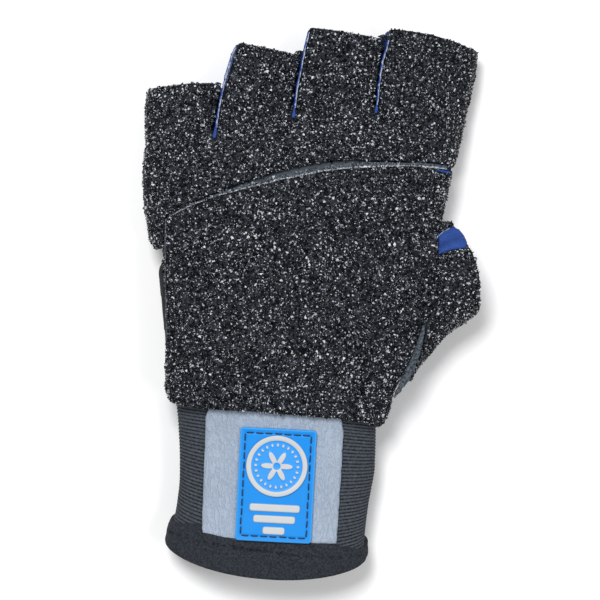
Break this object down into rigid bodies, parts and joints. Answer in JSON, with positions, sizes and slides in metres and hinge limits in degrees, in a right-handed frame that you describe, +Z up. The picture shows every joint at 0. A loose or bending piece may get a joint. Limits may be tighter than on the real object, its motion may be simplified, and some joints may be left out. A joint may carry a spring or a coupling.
{
  "type": "shooting glove",
  "caption": "half-finger shooting glove with crumbed grip panels, a knitted cuff and a soft rubber wrist label, lying flat on its far side",
  "frame": {"origin": "middle of the footprint, on the surface that the glove lies on", "axes": "+Y along the hand towards the fingers, +X towards the thumb, +Z up from the surface, through the side that the picture shows"},
  "size_m": [0.1182, 0.1926, 0.0386],
  "materials": {
    "grip": "thick foam-backed panel, covered all over with coarse rubber crumbs",
    "fabric": "smooth thin slate to black cloth",
    "suede": "blue suede",
    "knit": "rib-knitted elastic tube",
    "hem": "smooth soft band",
    "leather": "pale blue-grey split leather with cut edges",
    "rubber": "azure soft rubber with a raised rim",
    "emblem": "pale grey raised soft rubber"
  },
  "bodies": {
    "root": {"finger_wall_1": "suede", "finger_wall_2": "suede", "finger_wall_3": "suede", "thumb_wall": "suede", "body_front": "fabric", "body_rear": "fabric", "finger_grip": "grip", "hand_grip": "grip", "thumb_grip_front": "grip", "thumb_grip_rear": "grip", "rear_grip": "grip", "cuff": "knit", "cuff_hem": "hem", "wrist_patch": "leather", "label_plate": "rubber", "label_emblem": "emblem", "label_bar_1": "emblem", "label_bar_2": "emblem", "label_bar_3": "emblem"}
  },
  "joints": []
}
